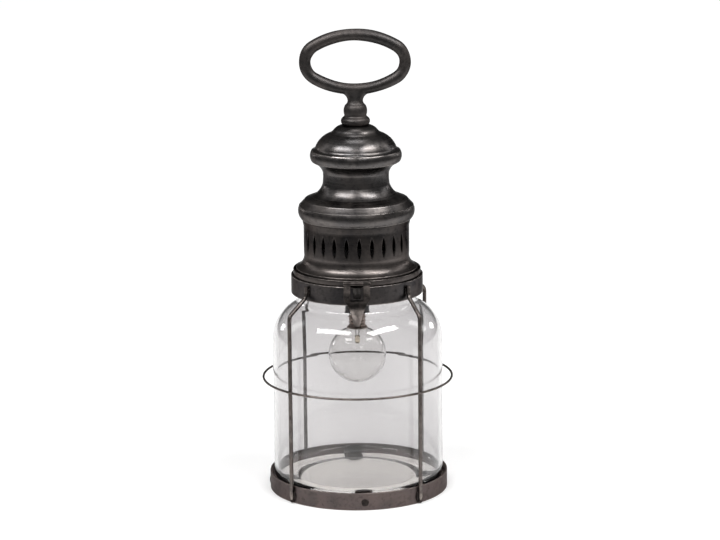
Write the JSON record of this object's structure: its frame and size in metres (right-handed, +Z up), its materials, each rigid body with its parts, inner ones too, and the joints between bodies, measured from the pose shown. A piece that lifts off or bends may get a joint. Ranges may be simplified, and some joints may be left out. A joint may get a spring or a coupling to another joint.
{
  "type": "bulb lantern",
  "caption": "Stable-style lantern: glass jar in a wire cage, spun vented hood with a ring handle that hinges open, globe lamp run from a battery case.",
  "frame": {"origin": "centre of the base band's lower edge, on the surface it stands on", "axes": "+Z up along the lantern's axis, -Y the front with the hasp, +X to the right seen from the front"},
  "size_m": [0.149, 0.149, 0.3617],
  "materials": {
    "hood_metal": "antique bronze over spun steel, satin, rubbed on the edges",
    "cast_metal": "dark cast handle, waxed",
    "band_metal": "brown-grey rolled band, matt, edges rubbed bright",
    "wire_metal": "dark drawn wire",
    "latch_metal": "brown-grey stamped sheet",
    "jar_glass": "clear blown glass, faintly green in the base",
    "lamp_glass": "clear thin glass",
    "lamp_brass": "pressed brass",
    "insulator": "black glass-like insulator",
    "black_plastic": "moulded, fine texture",
    "bead_resin": "clear warm resin",
    "bright_steel": "plated steel",
    "cell_wrap": "plain printed-free sleeve",
    "switch_white": "moulded knob"
  },
  "bodies": {
    "cage": {"base_band": "band_metal", "jar_rest_front": "latch_metal", "jar_rest_right": "latch_metal", "jar_rest_back": "latch_metal", "jar_rest_left": "latch_metal", "rest_rivets": "latch_metal", "post_front_left": "wire_metal", "post_front_right": "wire_metal", "post_rear_right": "wire_metal", "post_rear_left": "wire_metal", "guard_ring": "wire_metal", "collar_band": "band_metal", "neck_guide": "band_metal", "glass_jar": "jar_glass", "keeper": "latch_metal", "hinge_lower_leaf": "latch_metal", "hinge_pin": "latch_metal", "lamp_plate": "band_metal", "plate_screws": "bright_steel", "lamp_holder": "black_plastic", "holder_shell": "lamp_brass", "holder_contact": "bright_steel", "holder_nut": "lamp_brass", "battery_case": "black_plastic", "battery_cells": "cell_wrap", "battery_contacts": "bright_steel", "case_screws": "bright_steel"},
    "battery_cover": {"battery_cover": "black_plastic"},
    "timer_switch": {"timer_switch": "switch_white"},
    "lamp": {"lamp_globe": "lamp_glass", "lamp_cap": "lamp_brass", "lamp_insulator": "insulator", "lamp_tip": "lamp_brass", "lamp_stem": "lamp_glass", "lamp_leads": "bright_steel", "lamp_bead": "bead_resin"},
    "hood": {"top_cap": "hood_metal", "waist_cowl": "hood_metal", "vent_gallery": "hood_metal", "hood_pan": "hood_metal", "handle": "cast_metal", "handle_stud": "bright_steel", "handle_washer": "bright_steel", "handle_nut": "bright_steel", "hinge_upper_leaf": "latch_metal", "hasp_bracket": "latch_metal", "hasp_pin": "latch_metal"},
    "hasp": {"hasp": "latch_metal"}
  },
  "joints": [
    {"name": "hood_hinge", "type": "hinge", "parent": "cage", "child": "hood", "pos_m": [0, 0.0534, 0.1729], "axis": [-1, 0, 0], "range_deg": [0, 100]},
    {"name": "hasp_hinge", "type": "hinge", "parent": "hood", "child": "hasp", "pos_m": [0, -0.05315, 0.1743], "axis": [-1, 0, 0], "range_deg": [0, 160]},
    {"name": "lamp_screw", "type": "hinge", "parent": "cage", "child": "lamp", "pos_m": [0, 0, 0.142], "axis": [0, 0, -1], "range_deg": [0, 1800]},
    {"name": "cover_lift", "type": "slide", "parent": "cage", "child": "battery_cover", "axis": [0, 0, 1], "range_m": [0, 0.012]},
    {"name": "switch_slide", "type": "slide", "parent": "cage", "child": "timer_switch", "axis": [0, 1, 0], "range_m": [0, 0.006]}
  ]
}
